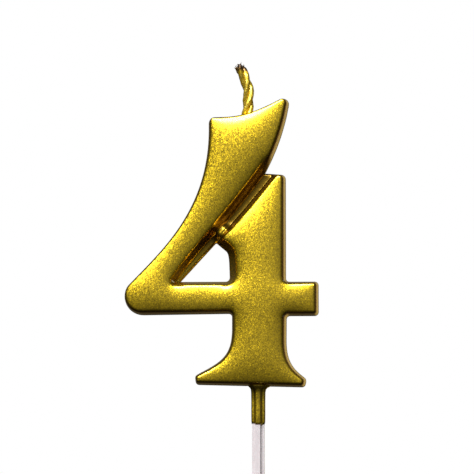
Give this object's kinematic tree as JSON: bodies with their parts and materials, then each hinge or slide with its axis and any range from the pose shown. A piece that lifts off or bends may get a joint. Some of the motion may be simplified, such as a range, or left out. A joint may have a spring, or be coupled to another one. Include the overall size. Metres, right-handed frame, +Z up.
{
  "type": "number birthday candle",
  "caption": "Number candle shaped as a puffy figure four in gold lacquer, with a twisted wick and a pointed cross-section pick for standing it in a cake.",
  "frame": {"origin": "on the pick's axis, at the underside of the numeral's foot, where the candle meets the cake", "axes": "+Z up along the pick towards the wick, the face looks along -Y, +X to the right when the figure is read"},
  "size_m": [0.0474, 0.0118, 0.1243],
  "materials": {
    "wax": "waxy, slightly translucent",
    "gold_lacquer": "pearly metallic gold lacquer with a fine sparkle",
    "wick_cotton": "twisted cotton soaked in wax and gold lacquer",
    "pick_plastic": "translucent white moulded plastic"
  },
  "bodies": {
    "candle": {"wax_body": "wax", "gold_coat": "gold_lacquer", "wick_strand_1_root": "wick_cotton", "wick_strand_2_root": "wick_cotton", "wick_strand_3_root": "wick_cotton", "pick": "pick_plastic"},
    "wick_end": {"wick_strand_1_tip": "wick_cotton", "wick_strand_2_tip": "wick_cotton", "wick_strand_3_tip": "wick_cotton"}
  },
  "joints": [
    {"name": "wick_bend", "type": "hinge", "parent": "candle", "child": "wick_end", "pos_m": [-0.00225, 0, 0.0726], "axis": [0, 1, 0], "range_deg": [-39, 80]}
  ]
}
